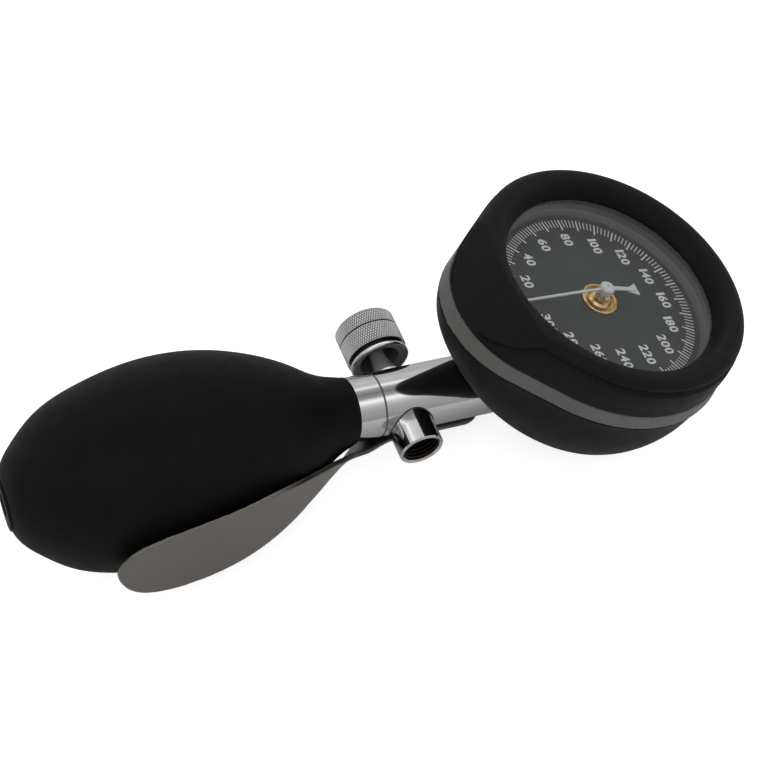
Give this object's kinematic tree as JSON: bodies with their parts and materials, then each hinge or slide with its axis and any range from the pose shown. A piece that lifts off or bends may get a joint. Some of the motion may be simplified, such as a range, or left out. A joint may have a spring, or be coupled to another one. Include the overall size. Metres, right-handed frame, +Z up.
{
  "type": "aneroid sphygmomanometer",
  "caption": "Palm-held aneroid pressure gauge in a rubber boot, on a chrome manifold with a hose port, bleed knob, steel spoon and squeeze bulb.",
  "frame": {"origin": "on the table, under the middle of the object, which rests on its bulb and on the gauge boot", "axes": "+X from the bulb to the gauge, +Y to the bleed knob, +Z up"},
  "size_m": [0.1806, 0.0698, 0.053],
  "materials": {
    "boot_rubber": "matte moulded",
    "bulb_rubber": "matte",
    "band_grey": "satin",
    "case_metal": "turned",
    "seal_rubber": "matte",
    "window": "clear polished",
    "flange_grey": "satin grey",
    "dial_print": "dark satin with white print",
    "brass": "satin",
    "jewel": "polished",
    "steel": "ground",
    "spring_bronze": "rolled",
    "pointer_paint": "off-white",
    "chrome": "polished",
    "knurled_chrome": "knurled",
    "spoon_steel": "fine brushed",
    "inlet_rubber": "matte"
  },
  "bodies": {
    "root": {"upper_boot": "boot_rubber", "boot_band": "band_grey", "lower_boot": "boot_rubber", "gauge_case": "case_metal", "snubber": "brass", "stem_seal": "seal_rubber", "lens": "window", "lens_gasket": "seal_rubber", "dial_flange": "flange_grey", "dial": "dial_print", "spacer_ring": "case_metal", "diaphragm_seal": "seal_rubber", "diaphragm": "spring_bronze", "clamp_ring": "brass", "support_plate": "brass", "lower_jewel": "jewel", "plate_pillars": "brass", "upper_plate": "brass", "plate_screws": "steel", "movement_sleeve": "brass", "bearing_cap": "brass", "upper_jewel": "jewel", "hairspring": "spring_bronze", "manifold": "chrome", "collar_gasket": "seal_rubber", "valve_collar": "chrome", "ball_cage": "brass", "bleed_seat": "chrome", "bulb": "bulb_rubber", "inlet_body": "inlet_rubber", "inlet_screen": "steel", "inlet_retainer": "brass", "spoon": "spoon_steel", "spoon_screw": "steel"},
    "pan": {"diaphragm_pan": "brass"},
    "needle": {"spindle": "steel", "pointer": "pointer_paint"},
    "outlet_valve": {"outlet_ball": "steel"},
    "inlet_valve": {"inlet_ball": "steel"},
    "valve_slide": {"needle_seal": "seal_rubber"},
    "valve_knob": {"bleed_needle": "steel", "bleed_knob": "knurled_chrome"}
  },
  "joints": [
    {"name": "pointer_turn", "type": "hinge", "parent": "root", "child": "needle", "pos_m": [0.05558, 0, 0.03198], "axis": [-0.365, 0, -0.931], "range_deg": [0, 345.6]},
    {"name": "pan_lift", "type": "slide", "parent": "root", "child": "pan", "axis": [0.365, 0, 0.931], "range_m": [0, 0.0005], "stiffness_N_per_m": 2000},
    {"name": "bleed_travel", "type": "slide", "parent": "root", "child": "valve_slide", "axis": [0, 1, 0], "range_m": [0, 0.0015]},
    {"name": "bleed_turn", "type": "hinge", "parent": "valve_slide", "child": "valve_knob", "pos_m": [0.00469, 0, 0.01683], "axis": [0, 1, 0], "range_deg": [0, 720]},
    {"name": "outlet_ball_slide", "type": "slide", "parent": "root", "child": "outlet_valve", "axis": [0.9776, 0, -0.2106], "range_m": [0, 0.0008]},
    {"name": "inlet_ball_slide", "type": "slide", "parent": "root", "child": "inlet_valve", "axis": [0.9952, 0, -0.0983], "range_m": [0, 0.0008]}
  ],
  "couplings": [
    {"joint": "pointer_turn", "follows": "pan_lift", "rad_per_m": 12063},
    {"joint": "bleed_turn", "follows": "bleed_travel", "rad_per_m": 8376.7}
  ]
}
